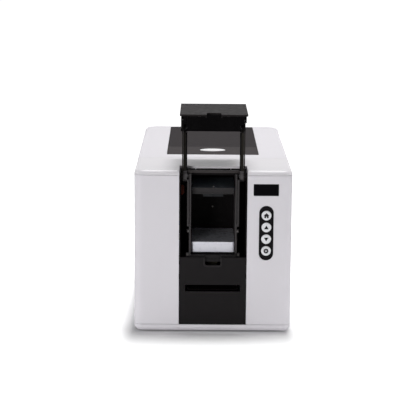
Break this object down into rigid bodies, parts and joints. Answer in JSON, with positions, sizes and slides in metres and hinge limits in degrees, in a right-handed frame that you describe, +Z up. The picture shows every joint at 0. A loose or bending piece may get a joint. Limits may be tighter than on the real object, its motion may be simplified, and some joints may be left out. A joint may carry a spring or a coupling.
{
  "type": "plastic card printer",
  "caption": "Desktop thermal printer for plastic cards: white case, dark front strip with a raised hopper cover on two arms, keypad, small display and hinged top cover.",
  "frame": {"origin": "on the table plane, under the middle of the part's overall box as it stands with its front cover raised", "axes": "+Z up from the table, +Y from the front face with the hopper towards the rear panel, +X to the right seen from the front"},
  "size_m": [0.196, 0.4173, 0.2773],
  "materials": {
    "case_white": "satin moulded plastic",
    "rubber_black": "matt",
    "insert_grey": "fine texture",
    "button_silver": "bright",
    "inner_grey": "matt",
    "strip_black": "fine texture",
    "hopper_black": "matt",
    "rail_grey": "satin",
    "arm_black": "satin",
    "steel": "machined",
    "zinc_sheet": "zinc-plated sheet",
    "card_white": "smooth",
    "amber": "translucent",
    "window_black": "dark gloss",
    "key_white": "satin",
    "board_green": "solder mask",
    "roller_olive": "matt",
    "roller_rubber": "matt",
    "roller_blue": "tacky",
    "head_aluminium": "extruded",
    "cassette_white": "satin",
    "ribbon_dark": "film",
    "pulley_brass": "turned"
  },
  "bodies": {
    "body": {"base_tray": "case_white", "rubber_feet": "rubber_black", "left_side_cover": "case_white", "right_side_cover": "case_white", "rear_panel": "case_white", "front_top_cap": "case_white", "front_lower_panel": "strip_black", "hopper_housing": "hopper_black", "hopper_side_left": "rail_grey", "hopper_side_right": "rail_grey", "hopper_floor": "inner_grey", "hopper_lip": "strip_black", "hopper_screws": "steel", "blank_cards": "card_white", "arm_pivot_pins": "steel", "sensor_prism": "amber", "display_window": "window_black", "keypad_plate": "strip_black", "front_board": "board_green", "chassis_left": "zinc_sheet", "chassis_right": "zinc_sheet", "chassis_pins": "steel", "card_guide": "inner_grey", "exit_chute": "inner_grey", "ribbon_cassette": "cassette_white", "ribbon_film": "ribbon_dark", "drive_motor": "inner_grey", "drive_belt": "rubber_black", "main_board": "board_green", "power_supply": "zinc_sheet", "rear_ports": "hopper_black"},
    "lid": {"top_cover": "case_white", "top_insert_front": "insert_grey", "top_insert_rear": "insert_grey", "release_guide": "inner_grey"},
    "release_button": {"cover_release_button": "button_silver"},
    "cover_arms": {"cover_arm_left": "arm_black", "cover_arm_right": "arm_black"},
    "cover": {"front_cover": "strip_black", "cover_pivot_pins": "steel"},
    "tilt_links": {"tilt_link_left": "arm_black", "tilt_link_right": "arm_black"},
    "weight": {"card_weight": "inner_grey", "weight_knob": "steel"},
    "home_key": {"key_home": "key_white"},
    "up_key": {"key_up": "key_white"},
    "down_key": {"key_down": "key_white"},
    "settings_key": {"key_settings": "key_white"},
    "pick_roller": {"pick_roller": "roller_olive"},
    "feed_roller": {"feed_roller": "roller_rubber"},
    "platen_roller": {"platen_roller": "roller_rubber"},
    "cleaning_roller": {"cleaning_roller": "roller_blue"},
    "exit_roller": {"exit_roller": "roller_rubber"},
    "motor_pulley": {"motor_pulley": "pulley_brass"},
    "head": {"print_head": "head_aluminium", "head_carrier": "steel"},
    "supply_spool": {"supply_spool": "ribbon_dark"},
    "takeup_spool": {"takeup_spool": "ribbon_dark"},
    "fan_rotor": {"fan_rotor": "hopper_black"},
    "power_switch": {"power_switch": "hopper_black"}
  },
  "joints": [
    {"name": "top_cover_hinge", "type": "hinge", "parent": "body", "child": "lid", "pos_m": [0, 0.20045, 0.196], "axis": [-1, 0, 0], "range_deg": [0, 75]},
    {"name": "release_button_press", "type": "slide", "parent": "lid", "child": "release_button", "axis": [0, 0, -1], "range_m": [0, 0.0015], "stiffness_N_per_m": 500, "springref_m": -0.001},
    {"name": "front_cover_swing", "type": "hinge", "parent": "body", "child": "cover_arms", "pos_m": [0, -0.17005, 0.1955], "axis": [1, 0, 0], "range_deg": [0, 180]},
    {"name": "front_cover_tilt", "type": "hinge", "parent": "cover_arms", "child": "cover", "pos_m": [0, -0.17005, 0.2558], "axis": [1, 0, 0], "range_deg": [-90, 0]},
    {"name": "tilt_link_swing", "type": "hinge", "parent": "body", "child": "tilt_links", "pos_m": [0, -0.17465, 0.1955], "axis": [1, 0, 0], "range_deg": [0, 168.31]},
    {"name": "card_weight_slide", "type": "slide", "parent": "body", "child": "weight", "axis": [0, 0, -1], "range_m": [0, 0.05684]},
    {"name": "home_key_press", "type": "slide", "parent": "body", "child": "home_key", "axis": [0, 1, 0], "range_m": [0, 0.0008], "stiffness_N_per_m": 600, "springref_m": -0.0004},
    {"name": "up_key_press", "type": "slide", "parent": "body", "child": "up_key", "axis": [0, 1, 0], "range_m": [0, 0.0008], "stiffness_N_per_m": 600, "springref_m": -0.0004},
    {"name": "down_key_press", "type": "slide", "parent": "body", "child": "down_key", "axis": [0, 1, 0], "range_m": [0, 0.0008], "stiffness_N_per_m": 600, "springref_m": -0.0004},
    {"name": "settings_key_press", "type": "slide", "parent": "body", "child": "settings_key", "axis": [0, 1, 0], "range_m": [0, 0.0008], "stiffness_N_per_m": 600, "springref_m": -0.0004},
    {"name": "platen_spin", "type": "hinge", "parent": "body", "child": "platen_roller", "pos_m": [0, 0.05145, 0.0927], "axis": [1, 0, 0], "continuous": true},
    {"name": "pick_spin", "type": "hinge", "parent": "body", "child": "pick_roller", "pos_m": [0, -0.16155, 0.0897], "axis": [1, 0, 0], "continuous": true},
    {"name": "feed_spin", "type": "hinge", "parent": "body", "child": "feed_roller", "pos_m": [0, -0.06355, 0.0937], "axis": [1, 0, 0], "continuous": true},
    {"name": "exit_spin", "type": "hinge", "parent": "body", "child": "exit_roller", "pos_m": [0, -0.13155, 0.05749], "axis": [1, 0, 0], "continuous": true},
    {"name": "motor_spin", "type": "hinge", "parent": "body", "child": "motor_pulley", "pos_m": [0, 0.09345, 0.03], "axis": [1, 0, 0], "continuous": true},
    {"name": "cleaning_spin", "type": "hinge", "parent": "body", "child": "cleaning_roller", "pos_m": [0, -0.03955, 0.10886], "axis": [1, 0, 0], "continuous": true},
    {"name": "supply_spin", "type": "hinge", "parent": "body", "child": "supply_spool", "pos_m": [0, 0.10845, 0.1518], "axis": [1, 0, 0], "continuous": true},
    {"name": "takeup_spin", "type": "hinge", "parent": "body", "child": "takeup_spool", "pos_m": [0, -0.00555, 0.1518], "axis": [1, 0, 0], "continuous": true},
    {"name": "head_lift", "type": "hinge", "parent": "body", "child": "head", "pos_m": [0, 0.09845, 0.1178], "axis": [-1, 0, 0], "range_deg": [0, 12]},
    {"name": "fan_spin", "type": "hinge", "parent": "body", "child": "fan_rotor", "pos_m": [0, 0.20095, 0.12], "axis": [0, 1, 0], "continuous": true},
    {"name": "power_switch_rock", "type": "hinge", "parent": "body", "child": "power_switch", "pos_m": [-0.05, 0.20645, 0.034], "axis": [0, 0, -1], "range_deg": [0, 12]}
  ],
  "couplings": [
    {"joint": "front_cover_tilt", "follows": "front_cover_swing", "ratio": -0.5},
    {"joint": "tilt_link_swing", "follows": "front_cover_swing", "ratio": 0.93507},
    {"joint": "pick_spin", "follows": "platen_spin", "ratio": 1},
    {"joint": "feed_spin", "follows": "platen_spin", "ratio": 1},
    {"joint": "exit_spin", "follows": "platen_spin", "ratio": 1},
    {"joint": "motor_spin", "follows": "platen_spin", "ratio": 1.3333},
    {"joint": "takeup_spin", "follows": "supply_spin", "ratio": 1.375}
  ]
}
